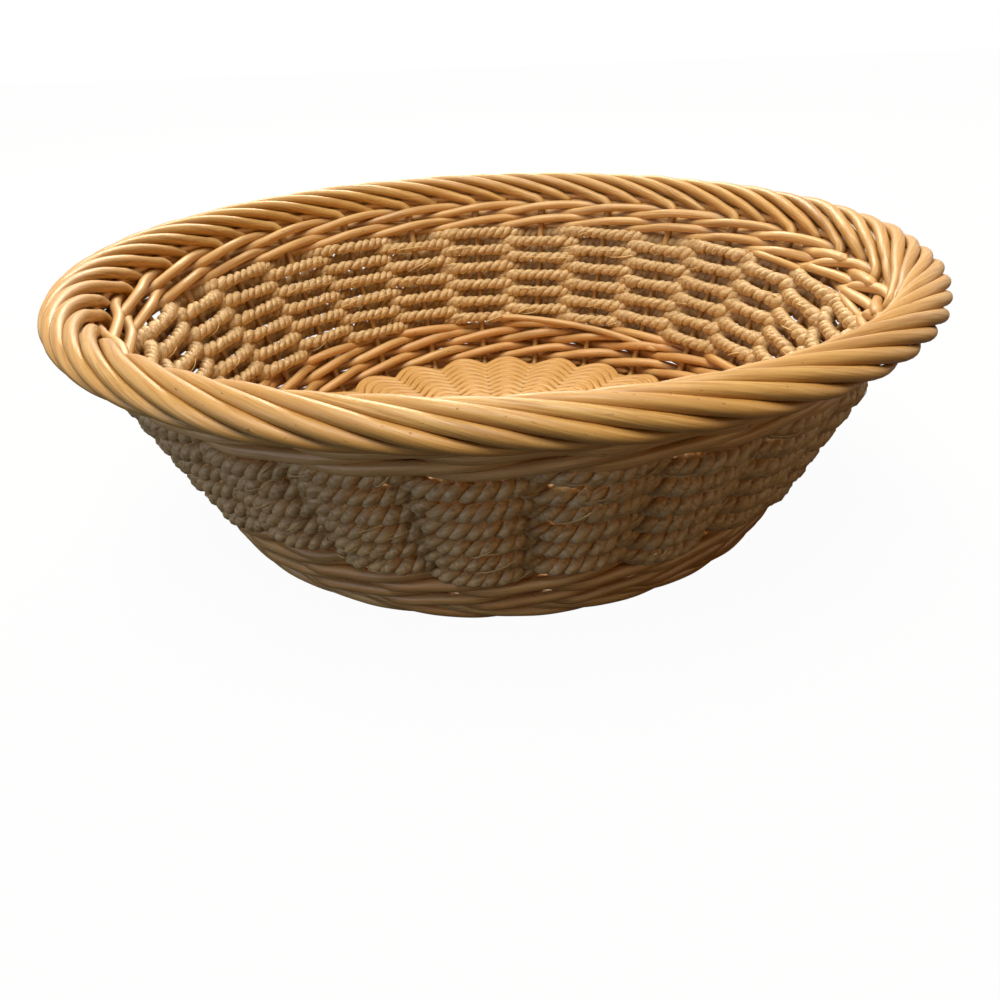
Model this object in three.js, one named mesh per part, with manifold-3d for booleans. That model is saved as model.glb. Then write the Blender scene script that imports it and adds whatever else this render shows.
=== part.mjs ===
// A round flared wicker basket. Twenty-five stakes lie with their tails in a woven base, bend up the
// wall, carry a wale, a plain weave of rope and a second wale, and roll over into the border.
// Millimetres, +Z up, origin at the middle of the underside.
import * as THREE from "three";
import { mergeVertices } from "three/addons/utils/BufferGeometryUtils.js";
import Module from "manifold-3d";

// Counts, and the stake that the rope starts at. An odd number of stakes lets one weaver change sides
// by itself from row to row.
const stakeCount = 25;
const ropeRows = 12;
const ropeStart = 18;
const lowerWaleRounds = 2;
const upperWaleRounds = 2;
const waleRods = 3;
const strandsRound = 8;

// Wall and base
const footRadius = 114.5;
const wallLean = 24.9;
const floorHeight = 9.5;
const petalDip = 1.6;
const stickReach = 84;
const hubRadius = 17;
const stickLift = 0.4;

// Rods and rope, by diameter
const stakeDiameter = 3.4;
const ropeDiameter = 4.45;
const lowerWaleDiameter = 3.6;
const upperWaleDiameter = 3.3;
const footRodDiameter = 4.2;
const borderRodDiameter = 4.3;

// Stake tails, foot rod, border and wales. The shares are of a stake or strand pitch.
const tailLift = 0.5;
const tailBend = 3;
const footLift = 0.3;
const footDrop = 1.6;
const footDip = 2.2;
const footBulgeShare = 0.28;
const borderLift = 5.7;
const borderSlack = 0.8;
const borderFlatness = 0.86;
const strandLeanShare = 0.9;
const strandInsideShare = 1.7;
const strandEndShare = 0.8;
const strandTip = 2.2;
const borderRodStartShare = 0.6;
const stepUpShare = 0.2;

// Gaps between neighbours that touch on the real basket
const clearance = 0.35;
const ropeClearance = 2 * clearance;
const footClearance = 2 * clearance;
const floorClearance = 3 * clearance;

// Sides of a rod's section, points of the petal outline, and points of a strand past the ring's top
const rodSides = 5;
const ropeSides = 6;
const petalSteps = 4;
const strandSteps = 7;
const floorRings = 5;

const lean = THREE.MathUtils.degToRad(wallLean);
const pitch = (2 * Math.PI) / stakeCount;
const stakeAzimuth = (index) => (index + 0.5) * pitch;

const gold = { color: 0xd9ab63, roughness: 0.5, metalness: 0 };
const honey = { color: 0xe3bd78, roughness: 0.6, metalness: 0 };
const tan = { color: 0xb08a56, roughness: 0.8, metalness: 0 };
const russet = { color: 0xb9793f, roughness: 0.55, metalness: 0 };

const basket = new THREE.Group();

function addPiece(name, geometry, finish) {
  const piece = new THREE.Mesh(geometry, new THREE.MeshStandardMaterial(finish));
  piece.name = name;
  basket.add(piece);
}

const numbered = (name, index) => `${name}_${String(index + 1).padStart(2, "0")}`;

const ringPoint = (azimuth, radius, height) =>
  new THREE.Vector3(radius * Math.cos(azimuth), radius * Math.sin(azimuth), height);

// A point of the wall: rise is the way up along the stake line from the table,
// and offset is square to that line, positive outwards.
function wallPoint(azimuth, rise, offset) {
  const radius = footRadius + rise * Math.sin(lean) + offset * Math.cos(lean);
  return ringPoint(azimuth, radius, rise * Math.cos(lean) - offset * Math.sin(lean));
}

// A solid rod along a path: a ring of points square to the path at each of its points, and flat ends.
// The ring's first direction, which no rod runs along, is carried on, so that the rod doesn't twist.
function rodGeometry(path, diameters, sides) {
  const position = [];
  const index = [];
  const across = new THREE.Vector3(0.3, 0.2, 1);
  path.forEach((point, i) => {
    const before = path[Math.max(i - 1, 0)];
    const after = path[Math.min(i + 1, path.length - 1)];
    const along = after.clone().sub(before).normalize();
    across.addScaledVector(along, -across.dot(along)).normalize();
    const beside = along.clone().cross(across);
    for (let k = 0; k < sides; k++) {
      const angle = (2 * Math.PI * k) / sides;
      const corner = point.clone();
      corner.addScaledVector(across, (diameters[i] / 2) * Math.cos(angle));
      corner.addScaledVector(beside, (diameters[i] / 2) * Math.sin(angle));
      position.push(corner.x, corner.y, corner.z);
    }
  });
  for (let i = 0; i + 1 < path.length; i++) {
    for (let k = 0; k < sides; k++) {
      const a = i * sides + k;
      const b = i * sides + ((k + 1) % sides);
      index.push(a, b, b + sides, a, b + sides, a + sides);
    }
  }
  const last = (path.length - 1) * sides;
  for (let k = 1; k + 1 < sides; k++) {
    index.push(0, k + 1, k);
    index.push(last, last + k, last + k + 1);
  }
  const geometry = new THREE.BufferGeometry();
  geometry.setAttribute("position", new THREE.Float32BufferAttribute(position, 3));
  geometry.setIndex(index);
  return geometry;
}

const evenRod = (path, diameter, sides) =>
  rodGeometry(path, path.map(() => diameter), sides);

// Heights up the wall, each round resting on the one below
const tailHeight = tailLift + stakeDiameter / 2;
const stickTop = tailHeight + stakeDiameter / 2;
const channelTop = stickTop + clearance;
const footHeight = footLift + footRodDiameter / 2;
const waleReach = (diameter) => (stakeDiameter + diameter) / 2 + clearance;
const waleStack = (diameter) => diameter / 2 + clearance;
const walePitch = (diameter) => 2 * waleStack(diameter) + diameter + clearance;
const footTop = footHeight + footDrop + footRodDiameter / 2;
const strokeDrop = waleReach(lowerWaleDiameter) * Math.sin(lean);
const overFoot =
  footTop + clearance + lowerWaleDiameter / 2 + strokeDrop + waleStack(lowerWaleDiameter) * Math.cos(lean);
const overFloor = floorHeight + clearance + lowerWaleDiameter / 2 - strokeDrop;
const lowerWaleRise = Math.max(overFoot, overFloor) / Math.cos(lean);
const waleTop = (rise, rounds, diameter) =>
  rise + (rounds - 1) * walePitch(diameter) + waleStack(diameter) + diameter / 2;
const ropePitch = ropeDiameter + clearance;
const ropeRise =
  waleTop(lowerWaleRise, lowerWaleRounds, lowerWaleDiameter) + clearance + ropeDiameter / 2;
const ropeTop = ropeRise + (ropeRows - 1) * ropePitch + ropeDiameter / 2;
const upperWaleRise = ropeTop + clearance + upperWaleDiameter / 2 + waleStack(upperWaleDiameter);
const wallTop = waleTop(upperWaleRise, upperWaleRounds, upperWaleDiameter);

// The border's strands lie side by side round a flattened ring, whose inner tip is on the stake line.
const strandSpacing = borderRodDiameter + borderSlack;
const strandPitch = pitch / 2;
const strandRing = (halfWidth) =>
  new THREE.EllipseCurve(0, 0, halfWidth, halfWidth * borderFlatness, Math.PI, -Math.PI, true);
const ringWidth = (strandsRound * strandSpacing) / strandRing(1).getLength();
const borderRing = strandRing(ringWidth);
const ringTop = 0.25;
const borderHeight = wallTop * Math.cos(lean) + borderLift;
const borderRadius = footRadius + borderHeight * Math.tan(lean) + ringWidth;

// One row is in front of a stake where the next is behind it, and the rope climbs a row in the last gap.
function ropePath() {
  const reach = (stakeDiameter + ropeDiameter) / 2 + ropeClearance;
  const path = [];
  for (let step = ropeStart; step < ropeRows * stakeCount; step++) {
    const rise = ropeRise + Math.floor(step / stakeCount) * ropePitch;
    path.push(wallPoint(stakeAzimuth(step), rise, step % 2 ? -reach : reach));
  }
  return path;
}

// A rod of a three-rod wale, worked clockwise: each stroke comes out above the others, passes two stakes
// on its way down, goes in below and rises behind the third. At the end of a round it rises to the next.
function walePath(rod, rise, rounds, diameter) {
  const stack = waleStack(diameter);
  const reach = waleReach(diameter);
  const strokes = stakeCount * rounds;
  const level = (stroke) => rise + Math.floor(stroke / stakeCount) * walePitch(diameter);
  const path = [];
  const add = (step, height, offset) => path.push(wallPoint(stakeAzimuth(-1 - step), height, offset));
  for (let stroke = rod; stroke < strokes; stroke += waleRods) {
    const here = level(stroke);
    const next = stroke + waleRods;
    const behind = next - 1;
    add(stroke - 0.5, here + stack, 0);
    add(stroke, here + stack, reach);
    add((stroke + behind - 1) / 2, here, reach);
    add(behind - 1, here - stack, reach);
    add(behind - 0.5, here - stack, 0);
    if (next >= strokes) continue;
    if (level(next) === here) add(behind, here, -reach);
    else {
      add(behind - stepUpShare, here, -reach);
      add(behind + stepUpShare, level(next), -reach);
    }
  }
  return path;
}

// The foot rod bulges round the bend of each stake, sinking as it passes, and dips in between.
const bendRise = tailHeight / Math.cos(lean);
const bendRadius = footRadius + bendRise * Math.sin(lean);

const footBulge = footBulgeShare * pitch;
const stakeFace = footRadius + (footHeight + footDrop) * Math.tan(lean) + stakeDiameter / 2;
const footOutside = (stakeFace + footRodDiameter / 2 + footClearance) / Math.cos(footBulge);
const footInside = footOutside - footDip;

function footPath() {
  const path = [];
  for (let index = 0; index < stakeCount; index++) {
    const azimuth = stakeAzimuth(index);
    path.push(ringPoint(azimuth - footBulge, footOutside, footHeight + footDrop));
    path.push(ringPoint(azimuth + footBulge, footOutside, footHeight));
    path.push(ringPoint(azimuth + pitch / 2, footInside, footHeight + footDrop / 2));
  }
  path.pop();
  return path;
}

// A strand of the border: leaning off the stake line, up the inside of the ring in a short turn,
// then over the top and down the outside, side by side with the others.
function borderPath(azimuth) {
  const insideShares = [0, ringTop / 2];
  const overShares = Array.from({ length: strandSteps + 1 }, (_, i) =>
    THREE.MathUtils.lerp(ringTop, strandEndShare, i / strandSteps),
  );
  return [...insideShares, ...overShares].map((share) => {
    const inside = (strandInsideShare * Math.min(share, ringTop)) / ringTop;
    const over = strandsRound * Math.max(share - ringTop, 0);
    const turned = azimuth + strandPitch * (strandLeanShare + inside + over);
    const place = borderRing.getPointAt(share);
    return ringPoint(turned, borderRadius + place.x, borderHeight + place.y);
  });
}

const strandDiameters = (count) =>
  Array.from({ length: count }, (_, i) => (i + 1 < count ? borderRodDiameter : strandTip));

function stakeGeometry(azimuth) {
  const tail = ringPoint(azimuth, stickReach + clearance, tailHeight);
  const bendStart = ringPoint(azimuth, bendRadius - tailBend, tailHeight);
  const corner = wallPoint(azimuth, bendRise, 0);
  const bendEnd = wallPoint(azimuth, bendRise + tailBend, 0);
  const bend = new THREE.QuadraticBezierCurve3(bendStart, corner, bendEnd).getPoints(2);
  const strand = borderPath(azimuth);
  const wall = [tail, ...bend, wallPoint(azimuth, wallTop, 0)];
  const diameters = wall.map(() => stakeDiameter).concat(strandDiameters(strand.length));
  return rodGeometry([...wall, ...strand], diameters, rodSides);
}

function borderRodGeometry(azimuth) {
  const strand = borderPath(azimuth);
  const startRise = THREE.MathUtils.lerp(wallTop, borderHeight / Math.cos(lean), borderRodStartShare);
  const startTurn = strandPitch * strandLeanShare * borderRodStartShare;
  const start = wallPoint(azimuth + startTurn, startRise, 0);
  const diameters = [stakeDiameter, ...strandDiameters(strand.length)];
  return rodGeometry([start, ...strand], diameters, rodSides);
}

// A hub with an arm along each stake, as a flat outline
function starShape(hub, armWidth, reach) {
  const shape = new THREE.Shape();
  const half = armWidth / 2;
  for (let index = 0; index < stakeCount; index++) {
    const arm = [
      [Math.sqrt(hub * hub - half * half), -half],
      [reach, -half],
      [reach, half],
      [Math.sqrt(hub * hub - half * half), half],
    ];
    for (const [x, y] of arm) {
      const corner = new THREE.Vector2(x, y).rotateAround(new THREE.Vector2(), stakeAzimuth(index));
      if (shape.curves.length || shape.currentPoint.lengthSq()) shape.lineTo(corner.x, corner.y);
      else shape.moveTo(corner.x, corner.y);
    }
  }
  return shape;
}

function starGeometry(hub, armWidth, reach, bottom, top) {
  const shape = starShape(hub, armWidth, reach);
  const geometry = new THREE.ExtrudeGeometry(shape, { depth: top - bottom, bevelEnabled: false });
  return geometry.translate(0, 0, bottom);
}

// The floor: flat below, with a rib over each stick, a hollow petal between two ribs and a scalloped edge.
function floorGeometry() {
  const columns = stakeCount * petalSteps;
  const ribEdge = wallPoint(0, channelTop / Math.cos(lean), -stakeDiameter / 2 - floorClearance).x;
  const petalEdge = footInside - footRodDiameter / 2 - clearance;
  const position = [0, 0, 0, 0, 0, floorHeight - petalDip];
  const index = [];
  const point = (ring, column) => 2 + ring * columns + (column % columns);
  for (let ring = 0; ring <= floorRings; ring++) {
    for (let column = 0; column < columns; column++) {
      const azimuth = stakeAzimuth(column / petalSteps);
      const rib = (1 + Math.cos((azimuth - stakeAzimuth(0)) * stakeCount)) / 2;
      const share = ring / floorRings;
      const edge = THREE.MathUtils.lerp(petalEdge, ribEdge, rib);
      const radius = ring ? share * edge : edge;
      const height = ring ? floorHeight - petalDip * (1 - rib * Math.min(1, 2 * share)) : 0;
      position.push(radius * Math.cos(azimuth), radius * Math.sin(azimuth), height);
    }
  }
  for (let column = 0; column < columns; column++) {
    const next = column + 1;
    index.push(0, point(0, next), point(0, column));
    index.push(1, point(1, column), point(1, next));
    for (let ring = 1; ring < floorRings; ring++) {
      index.push(point(ring, column), point(ring + 1, column), point(ring + 1, next));
      index.push(point(ring, column), point(ring + 1, next), point(ring, next));
    }
    index.push(point(floorRings, column), point(0, column), point(0, next));
    index.push(point(floorRings, column), point(0, next), point(floorRings, next));
  }
  const geometry = new THREE.BufferGeometry();
  geometry.setAttribute("position", new THREE.Float32BufferAttribute(position, 3));
  geometry.setIndex(index);
  return geometry;
}

const wasm = await Module();
wasm.setup();

function solidOf(geometry) {
  geometry.deleteAttribute("normal");
  geometry.deleteAttribute("uv");
  const merged = mergeVertices(geometry);
  const vertProperties = merged.attributes.position.array;
  const triVerts = new Uint32Array(merged.index.array);
  return new wasm.Manifold(new wasm.Mesh({ numProp: 3, vertProperties, triVerts }));
}

function cut(geometry, tool) {
  const mesh = solidOf(geometry).subtract(solidOf(tool)).getMesh();
  const result = new THREE.BufferGeometry();
  result.setAttribute("position", new THREE.Float32BufferAttribute(mesh.vertProperties, 3));
  result.setIndex(new THREE.BufferAttribute(mesh.triVerts, 1));
  return result;
}

// Base: the sticks and the stakes' tails lie in channels of the weave, open below
const channel = starGeometry(
  hubRadius + clearance,
  stakeDiameter + 2 * clearance,
  bendRadius + stakeDiameter,
  -clearance,
  channelTop,
);
addPiece("base_weave", cut(floorGeometry(), channel), honey);
addPiece("base_sticks", starGeometry(hubRadius, stakeDiameter, stickReach, stickLift, stickTop), honey);

addPiece("foot_rod", evenRod(footPath(), footRodDiameter, rodSides), russet);

for (let index = 0; index < stakeCount; index++) {
  addPiece(numbered("stake", index), stakeGeometry(stakeAzimuth(index)), gold);
  addPiece(numbered("border_rod", index), borderRodGeometry(stakeAzimuth(index + 0.5)), gold);
}

for (let rod = 0; rod < waleRods; rod++) {
  const lower = walePath(rod, lowerWaleRise, lowerWaleRounds, lowerWaleDiameter);
  const upper = walePath(rod, upperWaleRise, upperWaleRounds, upperWaleDiameter);
  addPiece(numbered("lower_wale_rod", rod), evenRod(lower, lowerWaleDiameter, rodSides), russet);
  addPiece(numbered("upper_wale_rod", rod), evenRod(upper, upperWaleDiameter, rodSides), gold);
}

addPiece("rope_weaver", evenRod(ropePath(), ropeDiameter, ropeSides), tan);

export default basket;
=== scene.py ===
import bpy
import numpy as np
from mathutils import Matrix


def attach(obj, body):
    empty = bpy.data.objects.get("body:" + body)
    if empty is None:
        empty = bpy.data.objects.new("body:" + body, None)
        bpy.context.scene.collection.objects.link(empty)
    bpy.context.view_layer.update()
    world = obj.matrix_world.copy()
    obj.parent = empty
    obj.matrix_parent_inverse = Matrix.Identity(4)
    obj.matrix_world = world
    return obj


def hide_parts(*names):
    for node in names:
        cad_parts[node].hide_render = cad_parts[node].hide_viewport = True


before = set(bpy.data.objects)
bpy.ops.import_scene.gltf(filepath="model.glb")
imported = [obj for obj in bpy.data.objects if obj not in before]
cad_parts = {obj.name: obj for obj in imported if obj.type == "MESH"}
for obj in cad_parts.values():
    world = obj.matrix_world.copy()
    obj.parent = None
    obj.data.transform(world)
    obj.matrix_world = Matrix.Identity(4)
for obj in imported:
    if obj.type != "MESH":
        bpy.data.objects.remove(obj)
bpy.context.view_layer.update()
print("frame loaded:", len(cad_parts), "solids")

# All lengths below are millimetres until a mesh is made
metresPerMm = 0.001
basket = {
    "stakes": 25,
    "footRadius": 114.5,
    "lean": 24.9,        # degrees from upright
    "wallTop": 98.13,    # along the slope
    "stakeWidth": 3.4,
    "flat": 0.3,         # how flat a woven strand lies at each stake
    "leastEnd": 0.02,    # the least share of a rod's thickness at its ends, squared
    "grainRange": 2000,  # the grain of each rod starts somewhere in this length
    "seed": 25,
}
lean = np.radians(basket["lean"])
pitch = 2 * np.pi / basket["stakes"]
chance = np.random.default_rng(basket["seed"])


# azimuth of a stake: half a pitch, then one pitch for each
def stakeAzimuth(index):
    return (index + 0.5) * pitch


# names of numbered nodes: the stem and two digits from 01
def nodeNames(stem, count):
    return [f"{stem}_{n:02d}" for n in range(1, count + 1)]


# cylinder to plain coordinates: r cos a, r sin a, z
def ringPoint(azimuth, radius, height):
    azimuth, radius, height = np.broadcast_arrays(azimuth, radius, height)
    return np.stack([radius * np.cos(azimuth), radius * np.sin(azimuth), height], -1)


# wall: r = foot + rise sin(lean) + offset cos(lean), z = rise cos(lean) - offset sin(lean)
def wallPoint(azimuth, rise, offset):
    radius = basket["footRadius"] + rise * np.sin(lean) + offset * np.cos(lean)
    return ringPoint(azimuth, radius, rise * np.cos(lean) - offset * np.sin(lean))


# wall normal, out of the basket and downwards
def wallNormal(azimuth):
    azimuth = np.asarray(azimuth, float)
    return ringPoint(azimuth, np.cos(lean), np.full(azimuth.shape, -np.sin(lean)))


# plain weave: reach c (1 + flat - flat c^2), where c is cos(pi n) at stake n
def weaveOffset(reach, side):
    return reach * side * (1 + basket["flat"] - basket["flat"] * side**2)


def unit(vectors):
    return vectors / np.linalg.norm(vectors, axis=-1, keepdims=True)


# length walked along a path up to each of its points
def walked(path):
    return np.append(0, np.cumsum(np.linalg.norm(np.diff(path, axis=0), axis=1)))


# rows of a path at other lengths along it, straight between its points
def onPath(at, along, rows):
    return np.stack([np.interp(at, along, column) for column in rows.T], 1)


# cubic through each value, with the slope of its neighbours:
# v0 (1+2t)(1-t)^2 + s0 w t(1-t)^2 + v1 t^2 (3-2t) + s1 w t^2 (t-1)
def throughPoints(knots, values, at):
    slope = np.gradient(values, knots, axis=0)
    i = np.clip(np.searchsorted(knots, at, side="right") - 1, 0, len(knots) - 2)
    wide = (knots[i + 1] - knots[i])[:, None]
    t = ((at - knots[i]) / wide[:, 0])[:, None]
    start = values[i] * (1 + 2 * t) * (1 - t) ** 2 + slope[i] * wide * t * (1 - t) ** 2
    return start + values[i + 1] * t**2 * (3 - 2 * t) + slope[i + 1] * wide * t**2 * (t - 1)


# smooth path of even steps through a few points
def smoothPath(points, step):
    knots = walked(points)
    return throughPoints(knots, points, np.linspace(0, knots[-1], int(knots[-1] / step) + 2))


# slow waver along a rod: size times the mean of sines of these wave lengths, each of a random phase
def waver(along, size, lengths):
    phases = chance.uniform(0, 2 * np.pi, len(lengths))
    waves = [np.sin(2 * np.pi * along / n + p) for n, p in zip(lengths, phases)]
    return size * (np.sum(waves, axis=0) / len(lengths))


# tone along a rod: a waver from 0 to 1
def toneAlong(along, lengths):
    return 0.5 + waver(along, 0.5, lengths)


def grainStart():
    return chance.uniform(0, basket["grainRange"])


# share of its thickness that a rod keeps near its ends: (1-(1-s/t)^2)^0.5 within t of an end
def endTaper(along, startLength, endLength):
    near = np.clip(along / startLength, 0, 1)
    far = np.clip((along[-1] - along) / endLength, 0, 1)
    start, end = [np.sqrt(np.maximum(1 - (1 - s) ** 2, basket["leastEnd"])) for s in (near, far)]
    return start * end


# rod: point + depth/2 cos(turn) outward + width/2 sin(turn) sideways, for each turn round its path
def rod(path, outward, width, depth, sides, tone, shift=0.0):
    along = walked(path)
    tangent = unit(np.gradient(path, axis=0))
    side = unit(np.cross(tangent, outward))
    out = np.cross(side, tangent)
    turn = np.linspace(0, 2 * np.pi, sides, endpoint=False)
    width, depth = np.broadcast_to(width, along.shape), np.broadcast_to(depth, along.shape)
    grid = (path[:, None]
            + (depth[:, None] / 2 * np.cos(turn))[..., None] * out[:, None]
            + (width[:, None] / 2 * np.sin(turn))[..., None] * side[:, None])
    return {"grid": grid, "along": along + shift, "tone": tone, "ends": path[[0, -1]]}


# corners and places on the grain of one rod's quads and end fans
def rodFaces(made, first):
    rings, sides = made["grid"].shape[:2]
    i, k = np.meshgrid(np.arange(rings - 1), np.arange(sides), indexing="ij")
    i, k = i.ravel(), k.ravel()
    after, ring, nextRing = (k + 1) % sides, i * sides, (i + 1) * sides
    quads = first + np.stack([ring + k, ring + after, nextRing + after, nextRing + k], 1)
    low, high = made["along"][i], made["along"][i + 1]
    round0, round1 = k / sides, (k + 1) / sides
    quadUv = np.stack([low, round0, low, round1, high, round1, high, round0], 1)
    k = np.arange(sides)
    after, last, middle = (k + 1) % sides, (rings - 1) * sides, rings * sides
    fans = first + np.concatenate([
        np.stack([np.full(sides, middle), after, k], 1),
        np.stack([np.full(sides, middle + 1), last + k, last + after], 1)])
    ends = np.repeat(made["along"][[0, -1]], sides)
    fanUv = np.stack([ends, np.tile((k + 0.5) / sides, 2)] * 3, 1)
    return quads, quadUv, fans, fanUv


# one mesh of many rods, riding on the basket
def makePiece(name, rods, finish, nodes):
    points, tones, quads, quadUv, fans, fanUv, first = [], [], [], [], [], [], 0
    for made in rods:
        for store, rows in zip((quads, quadUv, fans, fanUv), rodFaces(made, first)):
            store.append(rows)
        rings, sides = made["grid"].shape[:2]
        points += [made["grid"].reshape(-1, 3), made["ends"]]
        tone = np.broadcast_to(made["tone"], rings)
        tones += [np.repeat(tone, sides), tone[[0, -1]]]
        first += rings * sides + 2
    mesh = bpy.data.meshes.new(name)
    faces = np.concatenate(quads).tolist() + np.concatenate(fans).tolist()
    mesh.from_pydata((np.concatenate(points) * metresPerMm).tolist(), [], faces)
    uv = np.concatenate([np.concatenate(quadUv).reshape(-1, 2), np.concatenate(fanUv).reshape(-1, 2)])
    uv[:, 0] *= metresPerMm
    mesh.uv_layers.new(name="grain").data.foreach_set("uv", uv.astype(np.float32).ravel())
    tone = mesh.attributes.new("tone", "FLOAT", "POINT")
    tone.data.foreach_set("value", np.concatenate(tones).astype(np.float32))
    mesh.polygons.foreach_set("use_smooth", np.ones(len(faces), bool))
    mesh.materials.append(finish)
    mesh.update()
    piece = bpy.data.objects.new(name, mesh)
    bpy.context.scene.collection.objects.link(piece)
    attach(piece, "root")
    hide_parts(*nodes)
    print(name, "made:", len(rods), "rods,", 2 * sum(map(len, quads)) + sum(map(len, fans)), "triangles")


# a socket that takes part in sums: each sum adds a Math node
class Wire:
    def __init__(self, board, socket):
        self.board, self.socket = board, socket

    def math(self, operation, *values):
        return self.board.node("ShaderNodeMath", {"operation": operation}, dict(enumerate(values)))["Value"]

    def __add__(self, other):
        return self.math("ADD", self, other)

    def __radd__(self, other):
        return self.math("ADD", other, self)

    def __sub__(self, other):
        return self.math("SUBTRACT", self, other)

    def __rsub__(self, other):
        return self.math("SUBTRACT", other, self)

    def __mul__(self, other):
        return self.math("MULTIPLY", self, other)

    def __rmul__(self, other):
        return self.math("MULTIPLY", other, self)

    def __pow__(self, other):
        return self.math("POWER", self, other)

    def __rpow__(self, other):
        return self.math("POWER", other, self)

    def wave(self, operation):
        return self.math(operation, self)

    # 0 below low, 1 above high, smooth between
    def between(self, low, high):
        ranged = self.board.node("ShaderNodeMapRange", {"interpolation_type": "SMOOTHSTEP", "clamp": True},
                                 {"Value": self, "From Min": low, "From Max": high})
        return ranged["Result"]


# the nodes of a material or of the world
class Board:
    def __init__(self, tree):
        self.tree = tree
        tree.nodes.clear()

    def node(self, kind, settings, sockets):
        made = self.tree.nodes.new(kind)
        for name, value in settings.items():
            setattr(made, name, value)
        usable = [s for s in made.inputs if s.enabled]
        named = {s.name: s for s in reversed(usable)}
        for place, value in sockets.items():
            socket = usable[place] if isinstance(place, int) else named[place]
            if isinstance(value, Wire):
                self.tree.links.new(value.socket, socket)
            else:
                socket.default_value = value
        return {s.name: Wire(self, s) for s in made.outputs if s.enabled}

    def mix(self, share, one, other):
        sockets = {"Factor": share, "A": one, "B": other}
        return self.node("ShaderNodeMix", {"data_type": "RGBA"}, sockets)["Result"]

    # noise on a rod, at girth cos(turn), girth sin(turn) and stretch times the way along it, plus a drift
    def rodNoise(self, around, along, grain, drift=None):
        stretch, girth, scale, detail, roughness = grain
        turn = around * (2 * np.pi)
        length = along * stretch if drift is None else along * stretch + drift
        sockets = {0: turn.wave("COSINE") * girth, 1: turn.wave("SINE") * girth, 2: length}
        place = self.node("ShaderNodeCombineXYZ", {}, sockets)["Vector"]
        sockets = {"Vector": place, "Scale": scale, "Detail": detail, "Roughness": roughness}
        return self.node("ShaderNodeTexNoise", {"noise_dimensions": "3D"}, sockets)["Fac"]

    # the way along a rod in metres, the turns round it and its tone
    def grain(self):
        uv = self.node("ShaderNodeUVMap", {"uv_map": "grain"}, {})["UV"]
        parts = self.node("ShaderNodeSeparateXYZ", {}, {0: uv})
        tone = self.node("ShaderNodeAttribute", {"attribute_name": "tone"}, {})["Fac"]
        return parts["X"], parts["Y"], tone

    def surface(self, sockets, height, strength, distance):
        raised = {"Height": height, "Strength": strength, "Distance": distance}
        bump = self.node("ShaderNodeBump", {}, raised)
        made = self.node("ShaderNodeBsdfPrincipled", {}, {**sockets, "Normal": bump["Normal"]})
        self.node("ShaderNodeOutputMaterial", {}, {"Surface": made["BSDF"]})


def newFinish(name):
    finish = bpy.data.materials.new(name)
    finish.use_nodes = True
    return finish, Board(finish.node_tree)


willowGrain = {
    "fine": (26.0, 1.5, 1.9, 5.0, 0.62),  # each noise: stretch, girth, scale, detail, roughness
    "broad": (17.0, 0.45, 1.0, 3.0, 0.5),
    "spots": (300.0, 1.3, 1.9, 2.0, 0.4),
    "fibre": (60.0, 4.5, 2.0, 4.0, 0.6),
    "streaks": (0.34, 0.66),  # each mark: where it starts in its noise, and where it is whole
    "blotches": (0.5, 0.74),
    "tones": (0.1, 1.0),
    "flanks": (0.55, 1.0),
    "fibres": (0.58, 0.75),
    "knotSpan": 0.06,
    "knotShare": 0.7,
    "fibreShare": 0.3,
    "streakHeight": 0.6,
    "fibreHeight": 0.4,
    "knotDepth": 0.5,
    "streakGloss": 0.1,
    "knotRough": 0.2,
    "bumpDepth": 0.0006,  # metres
}


# peeled willow: two tones by streaks that follow the rod, a deeper tone in blotches,
# small dark knots, painted shade on the flanks where rods touch, and a tone of each rod's own
def willow(name, look):
    finish, board = newFinish(name)
    grain = willowGrain
    along, around, tone = board.grain()
    fine, broad, spots, fibre = [board.rodNoise(around, along, grain[kind])
                                 for kind in ("fine", "broad", "spots", "fibre")]
    streak = fine.between(*grain["streaks"])
    colour = board.mix(streak, look["deep"], look["pale"])
    colour = board.mix(broad.between(*grain["blotches"]) * look["blotch"], colour, look["stain"])
    colour = board.mix(tone.between(*grain["tones"]) * look["own"], colour, look["warm"])
    knots = spots.between(look["knotFrom"], look["knotFrom"] + grain["knotSpan"])
    colour = board.mix(knots * grain["knotShare"], colour, look["knot"])
    # painted shade: each rod's sides, where it touches its neighbours, are darkened towards the shade colour
    flank = (around * (2 * np.pi)).wave("SINE") ** 2.0
    colour = board.mix(flank.between(*grain["flanks"]) * look["flankShade"], colour, look["shade"])
    colour = board.mix(fibre.between(*grain["fibres"]) * grain["fibreShare"], colour, look["stain"])
    height = fine * grain["streakHeight"] + fibre * grain["fibreHeight"] - knots * grain["knotDepth"]
    rough = look["rough"] - streak * grain["streakGloss"] + knots * grain["knotRough"]
    sockets = {"Base Color": colour, "Roughness": rough, "Specular IOR Level": look["shine"]}
    board.surface(sockets, height, look["bump"], grain["bumpDepth"])
    return finish


ropeGrain = {
    "leaf": (30.0, 0.7, 1.5, 2.0, 0.5),  # noises and marks as for willow
    "fibre": (22.0, 3.0, 1.7, 3.0, 0.55),
    "stretch": (40.0, 0.4, 1.5, 2.0, 0.5),
    "drift": 71.0,  # how far a change of tone moves the noise along
    "leaves": (0.3, 0.66),
    "stretches": (0.42, 0.66),
    "creases": (0.34, 0.5),
    "stretchShare": 0.6,
    "creaseShare": 0.3,
    "fibreHeight": 0.8,
    "leafHeight": 0.5,
    "creaseRough": 0.12,
    "bumpDepth": 0.0008,  # metres
}


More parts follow.
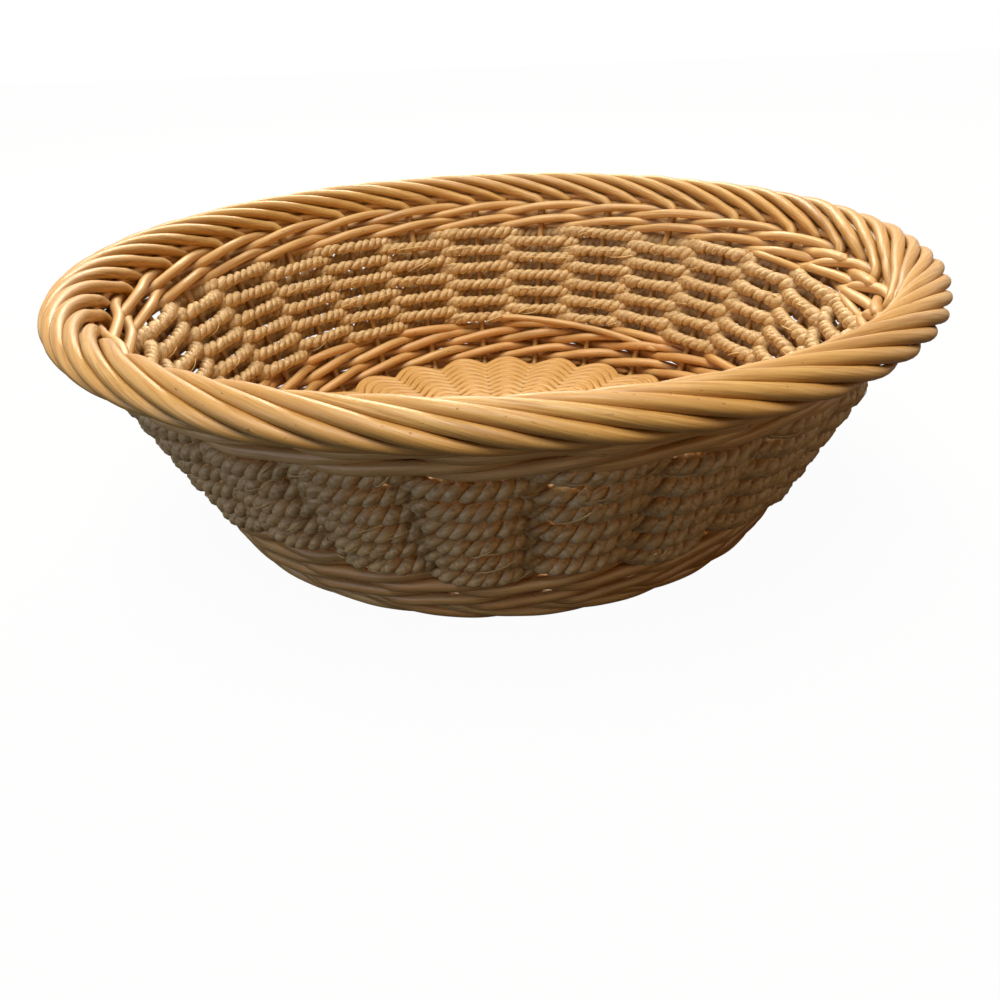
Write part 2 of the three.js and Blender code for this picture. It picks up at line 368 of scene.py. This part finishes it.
# grass rope: fibres that lie along the rope, so slanting across each ply, pale and dark leaves, matt
def grassRope(name, look):
    finish, board = newFinish(name)
    grain = ropeGrain
    along, around, tone = board.grain()
    slant = around + along * look["slant"]
    drift = tone * grain["drift"]
    leaf = board.rodNoise(slant, along, grain["leaf"], drift)
    fibre = board.rodNoise(slant, along, grain["fibre"], drift)
    stretch = board.rodNoise(around, along, grain["stretch"], drift)
    colour = board.mix(leaf.between(*grain["leaves"]), look["deep"], look["pale"])
    colour = board.mix(stretch.between(*grain["stretches"]) * grain["stretchShare"], colour, look["warm"])
    crease = 1 - fibre.between(*grain["creases"])
    colour = board.mix(crease * grain["creaseShare"], colour, look["crease"])
    height = fibre * grain["fibreHeight"] + leaf * grain["leafHeight"]
    rough = look["rough"] + crease * grain["creaseRough"]
    sockets = {"Base Color": colour, "Roughness": rough, "Specular IOR Level": look["shine"]}
    board.surface(sockets, height, look["bump"], grain["bumpDepth"])
    return finish


goldLook = {
    "deep": (0.42, 0.205, 0.044, 1), "pale": (0.65, 0.39, 0.115, 1), "stain": (0.31, 0.135, 0.032, 1),
    "warm": (0.55, 0.285, 0.068, 1), "knot": (0.20, 0.09, 0.03, 1), "shade": (0.20, 0.085, 0.02, 1),
    "blotch": 0.6, "own": 0.6, "flankShade": 0.16, "knotFrom": 0.71,
    "rough": 0.48, "shine": 0.5, "bump": 0.30,
}
amberLook = {**goldLook, "deep": (0.57, 0.315, 0.11, 1), "pale": (0.80, 0.52, 0.215, 1), "own": 0.5}
russetLook = {
    **goldLook, "deep": (0.54, 0.29, 0.092, 1), "pale": (0.73, 0.46, 0.175, 1),
    "warm": (0.58, 0.287, 0.085, 1), "own": 0.7,
}
caneLook = {
    **goldLook, "deep": (0.56, 0.30, 0.085, 1), "pale": (0.69, 0.41, 0.14, 1),
    "stain": (0.42, 0.21, 0.055, 1), "blotch": 0.2, "own": 0.3, "flankShade": 0.12,
}
ropeLook = {
    "deep": (0.44, 0.265, 0.108, 1), "pale": (0.73, 0.51, 0.245, 1),
    "warm": (0.57, 0.35, 0.12, 1), "crease": (0.22, 0.125, 0.05, 1),
    "slant": -96.0,  # turns for each metre
    "rough": 0.46, "shine": 0.45, "bump": 0.22,
}
# loose fibres, paler than the rope: partly the rope's own pale fibres and partly a painted highlight that
# stands for glints of lit fibres
fibreGlintLook = {**ropeLook, "deep": (0.70, 0.47, 0.17, 1), "pale": (0.88, 0.66, 0.30, 1)}
goldWillow = willow("gold_willow", goldLook)
amberWillow = willow("amber_willow", amberLook)
russetWillow = willow("russet_willow", russetLook)
caneFinish = willow("base_cane", caneLook)
ropeFinish = grassRope("grass_rope", ropeLook)
fibreGlintFinish = grassRope("rope_fibre_glint", fibreGlintLook)
print("finishes made")

# Shares are of the way round the ring that the strands roll over, and for the lean of the way up to it
border = {
    "radius": 165.44, "height": 94.71, "halfWidth": 6.97, "halfHeight": 6.0, "ringPoints": 721,
    "lean": 0.9, "leanTo": 0.75, "leanPoints": 3,
    "strandsRound": 8, "inside": 1.7, "insideShare": 0.25, "end": 0.9, "stretch": (-0.02, 0.03),
    "strandPoints": 17, "tuckFrom": 0.56, "tuck": 0.3, "swell": 0.018,
    "rodStart": (-0.1, 0.2), "rodThin": 0.8, "rodThinLength": 0.5, "behind": 3.2,
    "width": 5.0, "depth": 4.8, "depthBy": 0.1, "thickSpread": 0.04, "thickRange": (0.92, 1.08),
    "thickenOver": 9, "tip": 2.6, "taperFrom": 0.5, "taperTo": 0.66, "ends": (1.0, 1.5),
    "uneven": (0.02, [23, 57]),  # here and below: the size of a waver and its wave lengths
    "sides": 14, "step": 1.7,
}
stake = {
    "tailRadius": [84.4, 95.0, 104.0, 109.5, 113.2],
    "tailHeight": [5.6, 5.6, 5.2, 3.7, 2.7],
    "rises": [6.0, 14.0, 30.0, 50.0, 70.0, 86.0, 93.0, 96.5],
    "leanFrom": 0.15,
    "thickenBefore": 6,  # the top of the wall
}
strandPitch = pitch / 2
ringAngle = np.linspace(np.pi, -np.pi, border["ringPoints"])
ringLine = np.stack([border["halfWidth"] * np.cos(ringAngle), border["halfHeight"] * np.sin(ringAngle)], 1)
ringShare = walked(ringLine) / walked(ringLine)[-1]


# the lean from the wall's top towards the ring's inner tip: rise and turn grow evenly with the share of it
def strandLean(azimuth, start, behind):
    share = np.linspace(start, border["leanTo"], border["leanPoints"])
    rise = basket["wallTop"] + share * (border["height"] / np.cos(lean) - basket["wallTop"])
    turned = azimuth + share * border["lean"] * strandPitch
    return wallPoint(turned, rise, behind * (border["leanTo"] - share)), wallNormal(turned)


# strand: a quarter of the ring inside in a short turn, then an eighth of its girth for each half pitch
# of the stakes, over the top and down the outside; its normal points into the ring
def borderStrand(azimuth, stretch):
    share = np.linspace(0, border["end"] + stretch, border["strandPoints"])
    inside = border["inside"] * np.minimum(share, border["insideShare"]) / border["insideShare"]
    over = border["strandsRound"] * np.maximum(share - border["insideShare"], 0)
    turned = azimuth + strandPitch * (border["lean"] + inside + over)
    angle = np.interp(share, ringShare, ringAngle)
    tuck = np.clip((share - border["tuckFrom"]) / (border["end"] - border["tuckFrom"]), 0, 1)
    swell = 1 + chance.normal(0, border["swell"]) - border["tuck"] * tuck
    across, up = border["halfWidth"] * np.cos(angle), border["halfHeight"] * np.sin(angle)
    points = ringPoint(turned, border["radius"] + across * swell, border["height"] + up * swell)
    inward = ringPoint(turned, -np.cos(angle) / border["halfWidth"], -np.sin(angle) / border["halfHeight"])
    return points, unit(inward), share


# strand: thin in the wall, full over the border, narrowing past its outer side
def strandRod(points, normals, shares, thinLength, thinWidth, tone):
    path = smoothPath(points, border["step"])
    knots = walked(points)
    outward = unit(throughPoints(knots, normals, np.linspace(0, knots[-1], len(path))))
    along = walked(path)
    thick = np.clip(chance.normal(1, border["thickSpread"]), *border["thickRange"])
    share = np.interp(along, knots[-len(shares):], shares, left=-1)  # -1 before the ring
    thickening = [thinLength, thinLength + border["thickenOver"]]
    body = np.interp(along, thickening, [thinWidth, border["width"] * thick])
    tapering = [border["taperFrom"], border["taperTo"]]
    narrow = np.interp(share, tapering, [1, border["tip"] / border["width"]])
    wide = body * narrow * (1 + waver(along, *border["uneven"]))
    deep = wide * np.interp(share, [0, border["depthBy"]], [1, border["depth"] / border["width"]])
    ends = endTaper(along, *border["ends"])
    return rod(path, outward, wide * ends, deep * ends, border["sides"], tone, grainStart())


stakeRods, borderRods = [], []
for index in range(basket["stakes"]):
    azimuth = stakeAzimuth(index)
    tail = ringPoint(azimuth, np.array(stake["tailRadius"]), np.array(stake["tailHeight"]))
    wall = wallPoint(azimuth, np.array(stake["rises"]), 0.0)
    leanPoints, leanNormals = strandLean(azimuth, stake["leanFrom"], 0.0)
    strand, inward, shares = borderStrand(azimuth, chance.uniform(*border["stretch"]))
    down = np.tile([0.0, 0.0, -1.0], (len(tail), 1))
    normals = np.concatenate([down, np.tile(wallNormal(azimuth), (len(wall), 1)), leanNormals, inward])
    points = np.concatenate([tail, wall, leanPoints, strand])
    thinLength = walked(points)[len(tail) + len(wall) - 1] - stake["thickenBefore"]
    tone = chance.uniform()
    stakeRods.append(strandRod(points, normals, shares, thinLength, basket["stakeWidth"], tone))
    azimuth = stakeAzimuth(index + 0.5)
    leanPoints, leanNormals = strandLean(azimuth, chance.uniform(*border["rodStart"]), border["behind"])
    strand, inward, shares = borderStrand(azimuth, chance.uniform(*border["stretch"]))
    points = np.concatenate([leanPoints, strand])
    normals = np.concatenate([leanNormals, inward])
    thinWidth, tone = border["width"] * border["rodThin"], chance.uniform()
    borderRods.append(strandRod(points, normals, shares, border["rodThinLength"], thinWidth, tone))
makePiece("stakes", stakeRods, goldWillow, nodeNames("stake", basket["stakes"]))
makePiece("borderRods", borderRods, goldWillow, nodeNames("border_rod", basket["stakes"]))

# start and end: how many stakes a rod begins before its first stroke, and ends after its last
lowerWale = {
    "rise": 13.0, "rounds": 2, "pitch": 9.3, "reach": 4.1, "stack": 2.6, "width": 4.8, "rods": 3,
    "start": 1.35, "end": 2.35, "endRise": 0.6, "endReach": 0.8, "ends": 2.0,
    "drift": (0.25, [2.3, 3.7, 7.1]), "uneven": (0.06, [31, 77, 190]), "tones": [110, 260, 430],
    "sides": 12, "steps": 13,
}
upperWale = {**lowerWale, "rise": 87.0, "pitch": 7.5, "reach": 3.9, "stack": 2.1, "width": 4.4}


# wale: each stroke comes out high, passes two stakes on its way down, goes in low
# and rises behind the third; offset and height are cubics of the way round
def waleRods(wale):
    made = []
    strokes = basket["stakes"] * wale["rounds"]
    reach, stack = wale["reach"], wale["stack"]
    endRise, endReach = wale["endRise"] * stack, wale["endReach"] * reach
    for first in range(wale["rods"]):
        marks = [(first - wale["start"], wale["rise"] - endRise, -endReach),
                 (first - 1, wale["rise"], -reach)]
        for stroke in range(first, strokes, wale["rods"]):
            here = wale["rise"] + stroke // basket["stakes"] * wale["pitch"]
            after = stroke + wale["rods"]
            there = wale["rise"] + after // basket["stakes"] * wale["pitch"]
            there = here if after >= strokes else there
            marks += [(stroke - 0.5, here + stack, 0), (stroke, here + stack, reach),
                      (stroke + 0.5, here, reach), (stroke + 1, here - stack, reach),
                      (stroke + 1.5, here - stack, 0), (stroke + 2, (here + there) / 2, -reach)]
        marks.append((stroke + wale["end"], here + endRise, -endReach))
        marks = np.array(marks)
        start, end = marks[[0, -1], 0]
        at = np.linspace(start, end, int((end - start) * wale["steps"]))
        place = throughPoints(marks[:, 0], marks[:, 1:], at)
        azimuth = -(at + 0.5) * pitch
        drift = waver(at, *wale["drift"])
        path = wallPoint(azimuth, place[:, 0] + drift, place[:, 1])
        along = walked(path)
        ends = endTaper(along, wale["ends"], wale["ends"])
        wide = wale["width"] * (1 + waver(along, *wale["uneven"])) * ends
        tone = toneAlong(along, wale["tones"])
        made.append(rod(path, wallNormal(azimuth), wide, wide, wale["sides"], tone, grainStart()))
    return made


hoop = {
    "overlap": 0.12, "pass": 0.5, "radiusWaver": (0.25, [0.7, 1.3]), "heightWaver": (0.25, [0.5, 1.1]),
    "ends": 3.0, "tone": 0.8, "sides": 12, "points": 420,
}
borderHoops = [  # rods laid round without a stroke, under the roll of the border and inside it
    {"radius": 160.2, "height": 87.9, "width": 4.4, "depth": 4.4, "from": 0.3},
    {"radius": 159.6, "height": 91.2, "width": 4.0, "depth": 4.0, "from": 2.1},
    {"radius": 165.4, "height": 94.5, "width": 8.6, "depth": 10.6, "from": 4.0},
]


# hoop: a ring whose radius grows a little, so that its ends pass each other, with a slow waver
def hoopRod(laid):
    turn = np.linspace(0, 2 * np.pi + hoop["overlap"], hoop["points"])
    passing = np.linspace(-hoop["pass"], hoop["pass"], len(turn))
    radius = laid["radius"] + waver(turn, *hoop["radiusWaver"]) + passing
    azimuth = laid["from"] + turn
    path = ringPoint(azimuth, radius, laid["height"] + waver(turn, *hoop["heightWaver"]))
    ends = endTaper(walked(path), hoop["ends"], hoop["ends"])
    outward = ringPoint(azimuth, np.ones_like(turn), np.zeros_like(turn))
    width, depth = laid["width"] * ends, laid["depth"] * ends
    return rod(path, outward, width, depth, hoop["sides"], hoop["tone"], grainStart())


packing = {
    "waver": (0.4, [2.3, 5.1]), "uneven": (0.06, [31, 77]), "tones": [90, 210], "ends": 8.0, "steps": 16,
}
lowerPacking = [  # from and to are counted in stakes
    {"from": -1.3, "to": 9.4, "rise": 28.2, "width": 4.6},
    {"from": 8.6, "to": 17.6, "rise": 28.0, "width": 4.6},
]
upperPacking = [{"from": -4.5, "to": 2.6, "rise": 83.6, "width": 3.4}]


# packing rod: plain weave between a wale and the rope
def packingRod(packed):
    at = np.linspace(packed["from"], packed["to"], int((packed["to"] - packed["from"]) * packing["steps"]))
    azimuth = stakeAzimuth(at)
    rise = packed["rise"] + waver(at, *packing["waver"])
    path = wallPoint(azimuth, rise, weaveOffset(lowerWale["reach"], np.cos(np.pi * at)))
    along = walked(path)
    ends = endTaper(along, packing["ends"], packing["ends"])
    wide = packed["width"] * ends * (1 + waver(along, *packing["uneven"]))
    tone = toneAlong(along, packing["tones"])
    return rod(path, wallNormal(azimuth), wide, wide, lowerWale["sides"], tone, grainStart())


topRods = waleRods(upperWale) + [hoopRod(laid) for laid in borderHoops]
topRods += [packingRod(packed) for packed in upperPacking]
makePiece("upperWale", topRods, amberWillow, nodeNames("upper_wale_rod", upperWale["rods"]))

filling = {
    "azimuths": [44.0, 52.0, 58.0, 65.0, 72.0, 79.5, 86.0, 91.0],
    "rises": [22.5, 24.6, 26.0, 27.6, 29.0, 30.4, 31.6, 32.0],
    "offsets": [-2.0, -4.6, -5.4, -5.6, -5.4, -5.6, -4.6, -1.5],
    "width": 3.6, "ends": 6.0, "tone": 0.3, "grainStart": 300.0, "step": 2.0,
}


# filling rod: laid inside over three stakes, from the wale up to the row where the rope begins
def fillingRod():
    azimuth = np.radians(filling["azimuths"])
    points = wallPoint(azimuth, np.array(filling["rises"]), np.array(filling["offsets"]))
    path = smoothPath(points, filling["step"])
    along = walked(path)
    outward = wallNormal(np.interp(along, walked(points), azimuth))
    wide = filling["width"] * endTaper(along, filling["ends"], filling["ends"])
    return rod(path, outward, wide, wide, lowerWale["sides"], filling["tone"], filling["grainStart"])


fillings = [fillingRod()] + [packingRod(packed) for packed in lowerPacking]
makePiece("lowerWale", waleRods(lowerWale) + fillings, russetWillow,
          nodeNames("lower_wale_rod", lowerWale["rods"]))

foot = {
    "turns": [-0.95, -0.7, -0.35, 0.0, 0.35, 0.7, 1.05, 1.4],  # counted in stakes
    "radii": [116.6, 118.6, 120.8, 121.3, 120.9, 120.2, 119.4, 117.6],
    "heights": [7.4, 6.8, 5.9, 4.7, 3.4, 2.5, 2.35, 2.4],
    "spread": 0.15, "width": 4.4, "ends": (8, 4), "uneven": (0.04, [17, 41]), "sides": 12, "step": 1.8,
}
edgeHoops = [  # rods laid round under the edge of the base, between the bends of the stakes
    {"radius": 107.6, "height": 2.6, "width": 3.8, "depth": 3.4, "from": 1.2},
    {"radius": 111.2, "height": 3.0, "width": 3.8, "depth": 3.4, "from": 3.3},
    {"radius": 114.9, "height": 3.6, "width": 3.8, "depth": 3.6, "from": 5.4},
]


# foot stroke: out from under the one before, sinking as it passes its stake, in under the one after
def footStroke(index):
    azimuth = stakeAzimuth(index + np.array(foot["turns"]))
    radius = np.array(foot["radii"]) + chance.normal(0, foot["spread"])
    path = smoothPath(ringPoint(azimuth, radius, np.array(foot["heights"])), foot["step"])
    along = walked(path)
    outward = unit(path * [1, 1, 0])
    wide = foot["width"] * endTaper(along, *foot["ends"]) * (1 + waver(along, *foot["uneven"]))
    return rod(path, outward, wide, wide, foot["sides"], chance.uniform(), grainStart())


footRods = [footStroke(index) for index in range(basket["stakes"])] + [hoopRod(laid) for laid in edgeHoops]
makePiece("footRod", footRods, russetWillow, ["foot_rod"])

rope = {
    "rise": 27.81, "pitch": 4.8, "rows": 12, "reach": 4.5, "tilt": 0.7,
    "waver": (0.7, [1.3, 2.3, 5.3, 11.0]),
    "start": 18, "startBefore": 0.45, "endBefore": 0.7, "lineSteps": 34,  # counted in stakes
    "plyOffset": 1.45, "plyWidth": 4.0, "plyDepth": 0.96, "uneven": (0.12, [13, 31, 61]),
    "lay": 8.9, "layWaver": (0.12, [37, 83, 140]), "tones": [70, 160, 390],
    "full": 1.1, "fullOutside": 0.16, "pressed": 0.08,  # thickness, its growth outwards, its loss at a stake
    "fullAt": [-150, -120, -90, -60, -30, 0, 30, 60, 100, 114, 128, 142, 155, 180],
    "fullBy": [0.2, -0.1, -0.24, -0.1, 0.25, 0.33, 0.28, 0.08, 0.0, -0.22, -0.3, -0.2, 0.15, 0.3],
    "sides": 10, "step": 0.85, "parts": ["ropeFoot", "ropeLower", "ropeUpper", "ropeTop"],
}


# rope line: plain weave, rising a row in the last gap; thicker outside than inside,
# by an amount that changes round the basket
def ropeLine():
    count = rope["rows"] * basket["stakes"]
    steps = (count - rope["start"]) * rope["lineSteps"]
    at = np.linspace(rope["start"] - rope["startBefore"], count - rope["endBefore"], steps)
    row, way = np.divmod(at, basket["stakes"])
    climb = np.clip(way - (basket["stakes"] - 1), 0, 1)
    row = np.maximum(row, 0) + climb**2 * (3 - 2 * climb)
    side = np.cos(np.pi * at)
    rise = rope["rise"] + row * rope["pitch"] + rope["tilt"] * side
    rise = rise + waver(at, *rope["waver"])
    azimuth = stakeAzimuth(at)
    path = wallPoint(azimuth, rise, weaveOffset(rope["reach"], side))
    along = walked(path)
    even = np.linspace(0, along[-1], int(along[-1] / rope["step"]))
    place, turned = np.interp(even, along, side), np.interp(even, along, azimuth)
    fuller = np.interp(np.degrees(turned), rope["fullAt"], rope["fullBy"], period=360)
    squeeze = rope["full"] + rope["fullOutside"] * place - rope["pressed"] * place**2
    outer = 0.5 + 0.5 * place
    squeeze = squeeze + fuller * outer
    return onPath(even, along, path), wallNormal(turned), even, squeeze


# ply: the rope line + offset (cos turn outward + sin turn sideways), one turn for each lay
def ropePly(path, normal, along, squeeze, phase):
    tangent = unit(np.gradient(path, axis=0))
    side = unit(np.cross(tangent, normal))
    out = np.cross(side, tangent)
    twist = along / rope["lay"] + waver(along, *rope["layWaver"])
    turn = phase - 2 * np.pi * twist
    arm = np.cos(turn)[:, None] * out + np.sin(turn)[:, None] * side
    wide = rope["plyWidth"] * squeeze * (1 + waver(along, *rope["uneven"]))
    tone = toneAlong(along, rope["tones"])
    centre = path + (rope["plyOffset"] * squeeze)[:, None] * arm
    return rod(centre, arm, wide, wide * rope["plyDepth"], rope["sides"], tone)


linePath, lineNormal, lineAlong, lineSqueeze = ropeLine()
plies = [ropePly(linePath, lineNormal, lineAlong, lineSqueeze, phase) for phase in (0.0, np.pi)]
cuts = np.linspace(0, len(lineAlong) - 1, len(rope["parts"]) + 1).astype(int)
for part, name in enumerate(rope["parts"]):
    keep = slice(cuts[part], cuts[part + 1] + 1)
    rods = [{"grid": p["grid"][keep], "along": p["along"][keep], "tone": p["tone"][keep],
             "ends": p["grid"][keep][[0, -1]].mean(1)} for p in plies]
    makePiece(name, rods, ropeFinish, ["rope_weaver"])

loose = {
    "count": 640, "length": (5.0, 15.0), "lift": (0.3, 1.4), "fromStart": 20, "fromEnd": 40,
    "turn": (-0.6, 0.6), "twist": (0, 1.6), "freeShare": 0.4, "skin": 0.46,
    "width": 0.6, "widthRange": (0.6, 1.2), "flat": 0.6, "ends": (2.0, 4.0), "tone": 1.0,
    "sides": 4, "steps": 8,
}


# loose fibre: along the rope on its skin, turned a little round it, lifted by sin(pi s)
# or, where its end is free, by s^2
def looseFibre():
    share = np.linspace(0, 1, loose["steps"])
    begin = chance.uniform(loose["fromStart"], lineAlong[-1] - loose["fromEnd"])
    place = begin + share * chance.uniform(*loose["length"])
    centre = onPath(place, lineAlong, linePath)
    tangent = unit(np.gradient(centre, axis=0))
    side = unit(np.cross(tangent, onPath(place, lineAlong, lineNormal)))
    facing = chance.uniform(*loose["turn"]) + np.pi * chance.integers(0, 2)
    turn = facing - share * chance.uniform(*loose["twist"])
    arm = np.cos(turn)[:, None] * np.cross(side, tangent) + np.sin(turn)[:, None] * side
    free = share**2 if chance.uniform() < loose["freeShare"] else np.sin(np.pi * share)
    skin = rope["plyOffset"] + loose["skin"] * rope["plyWidth"]
    reach = skin + chance.uniform(*loose["lift"]) * free
    wide = loose["width"] * endTaper(walked(centre), *loose["ends"]) * chance.uniform(*loose["widthRange"])
    path = centre + reach[:, None] * arm
    return rod(path, arm, wide, wide * loose["flat"], loose["sides"], loose["tone"], grainStart())


fibreRods = [looseFibre() for n in range(loose["count"])]
makePiece("ropeFibres", fibreRods, fibreGlintFinish, ["rope_weaver"])

base = {
    "first": 13.0, "last": 117.0, "rowPitch": 2.8, "height": 7.4, "swing": 0.9, "swingShare": 0.30,
    "dome": 2.2, "scallop": 12.0, "scallopGrowth": 1.5, "scallopRound": 0.85,
    "width": 4.1, "depth": 2.3, "tones": [180, 470], "sides": 8, "step": 1.7, "lineSteps": 26,
}


# base weaver: one spiral, over one stick and under the next by swing cos(pi n), bowed outwards
# between sticks by scallop |sin(pi n)|^round and domed there by sin(pi n)^2
def baseWeaver():
    rows = (base["last"] - base["first"] - base["scallop"]) / base["rowPitch"]
    at = np.linspace(0, rows * basket["stakes"], int(rows * basket["stakes"] * base["lineSteps"]))
    plain = base["first"] + base["rowPitch"] * at / basket["stakes"]
    bow = base["scallop"] * (plain / base["last"]) ** base["scallopGrowth"]
    bow = bow * np.abs(np.sin(np.pi * at)) ** base["scallopRound"]
    swing = np.minimum(base["swing"], base["swingShare"] * plain * pitch) * np.cos(np.pi * at)
    dome = base["dome"] * (plain / base["last"]) * np.sin(np.pi * at) ** 2
    path = ringPoint(stakeAzimuth(at), plain + bow, base["height"] + dome + swing)
    along = walked(path)
    even = np.linspace(0, along[-1], int(along[-1] / base["step"]))
    up = np.tile([0.0, 0.0, 1.0], (len(even), 1))
    tone = toneAlong(even, base["tones"])
    return rod(onPath(even, along, path), up, base["width"], base["depth"], base["sides"], tone)


makePiece("baseWeave", [baseWeaver()], caneFinish, ["base_weave"])

stick = {
    "from": 11.0, "to": 84.0, "height": 5.6, "width": 3.2, "points": 24, "ends": 1.2, "sides": 10,
    "hubReach": 13.5, "hubBars": 6, "hubSpacing": 3.6, "hubWidth": 3.5, "hubRise": 1.6,
}


# straight rod: even steps from one point to another
def straightRod(start, end, width):
    path = np.linspace(start, end, stick["points"])
    wide = width * endTaper(walked(path), stick["ends"], stick["ends"])
    up = np.tile([0.0, 0.0, 1.0], (stick["points"], 1))
    return rod(path, up, wide, wide, stick["sides"], chance.uniform(), grainStart())


sticks = []
for index in range(basket["stakes"]):
    start, end = [ringPoint(stakeAzimuth(index), stick[way], stick["height"]) for way in ("from", "to")]
    sticks.append(straightRod(start, end, stick["width"]))
above, below = stick["height"] + stick["hubRise"], stick["height"] - stick["hubRise"]
for place in (np.arange(stick["hubBars"]) - (stick["hubBars"] - 1) / 2) * stick["hubSpacing"]:
    reach = (stick["hubReach"] ** 2 - place**2) ** 0.5
    for start, end in (((-reach, place, above), (reach, place, above)),
                       ((place, -reach, below), (place, reach, below))):
        sticks.append(straightRod(np.array(start), np.array(end), stick["hubWidth"]))
makePiece("baseSticks", sticks, caneFinish, ["base_sticks"])

# From here on lengths are metres
studio = {
    "ambient": 0.024, "floorSize": 6.0, "floorColour": (0.070, 0.070, 0.070, 1), "white": (1, 1, 1, 1),
    "floorWhite": 0.7, "glow": 1.378, "aim": (0, 0, 0.06),
}
scene = bpy.context.scene
scene.view_settings.view_transform = "Standard"
world = bpy.data.worlds.new("studio")
world.use_nodes = True
scene.world = world
board = Board(world.node_tree)
ray = board.node("ShaderNodeLightPath", {}, {})
seen = ray["Is Camera Ray"].math("MAXIMUM", ray["Is Camera Ray"], ray["Is Glossy Ray"])
seen = seen.math("MAXIMUM", seen, ray["Is Transmission Ray"])
strength = seen * (1 - studio["ambient"]) + studio["ambient"]
sky = board.node("ShaderNodeBackground", {}, {"Color": studio["white"], "Strength": strength})
board.node("ShaderNodeOutputWorld", {}, {"Surface": sky["Background"]})

floorFinish, board = newFinish("studio_floor")
ray = board.node("ShaderNodeLightPath", {}, {})
matt = board.node("ShaderNodeBsdfDiffuse", {}, {"Color": studio["floorColour"]})["BSDF"]
white = board.node("ShaderNodeEmission", {}, {"Color": studio["white"], "Strength": studio["glow"]})
share = ray["Is Camera Ray"] * studio["floorWhite"]
both = board.node("ShaderNodeMixShader", {}, {0: share, 1: matt, 2: white["Emission"]})
board.node("ShaderNodeOutputMaterial", {}, {"Surface": both["Shader"]})
half = studio["floorSize"] / 2
corners = [(-half, -half, 0), (half, -half, 0), (half, half, 0), (-half, half, 0)]
floorMesh = bpy.data.meshes.new("floor")
floorMesh.from_pydata(corners, [], [(0, 1, 2, 3)])
floorMesh.materials.append(floorFinish)
floorPlane = bpy.data.objects.new("floor", floorMesh)
scene.collection.objects.link(floorPlane)

lamps = {  # kind, place, width in metres or spread in radians, strength, colour
    "topLight": ("SUN", (-0.12, -0.26, 1.15), 0.80, 3.75, (1.0, 0.95, 0.88)),
    "leftLight": ("AREA", (-0.9, -0.6, 0.3), 0.4, 2.2, (0.60, 0.72, 1.0)),
    "rightLight": ("AREA", (0.9, -0.7, 0.3), 0.4, 0.95, (1.0, 0.50, 0.05)),
    "backLight": ("AREA", (-0.15, 1.1, 0.9), 0.5, 16.0, (1.0, 0.90, 0.74)),
}


# a thing's place and its three axes as one matrix
def placedAt(spot, axes):
    placed = np.eye(4)
    placed[:3, :3] = np.stack(axes, 1)
    placed[:3, 3] = spot
    return Matrix(placed.tolist())


for name, (kind, spot, size, power, colour) in lamps.items():
    light = bpy.data.lights.new(name, kind)
    light.energy, light.color = power, colour
    if kind == "SUN":
        light.angle = size
    else:
        light.shape, light.size = "DISK", size
    lamp = bpy.data.objects.new(name, light)
    away = unit(np.array(spot) - np.array(studio["aim"]))
    aside = unit(np.cross([0, 1, 0.01], away))  # no lamp lies along this axis
    lamp.matrix_world = placedAt(spot, [aside, np.cross(away, aside), away])
    scene.collection.objects.link(lamp)

view = {
    "elevation": 27.201, "distance": 0.41195, "pan": 0.125, "tilt": 2.527, "roll": -2.051,
    "lens": 31.23, "sensor": 36.0, "nearest": 0.01,
}


# turn about one of the camera's own axes, by degrees
def turnAbout(axis, degrees):
    return np.array(Matrix.Rotation(np.radians(degrees), 3, axis))


raised = np.radians(view["elevation"])
spot = view["distance"] * np.array([0, -np.cos(raised), np.sin(raised)])
ahead = -unit(spot)
level = np.stack([[1, 0, 0], -np.cross([1, 0, 0], ahead), ahead])
axes = turnAbout("Z", view["roll"]) @ turnAbout("X", view["tilt"]) @ turnAbout("Y", view["pan"]) @ level
lensData = bpy.data.cameras.new("camera")
lensData.lens, lensData.sensor_width, lensData.clip_start = view["lens"], view["sensor"], view["nearest"]
camera = bpy.data.objects.new("camera", lensData)
camera.matrix_world = placedAt(spot, [axes[0], -axes[1], -axes[2]])
scene.collection.objects.link(camera)
scene.camera = camera
print("studio and camera set")
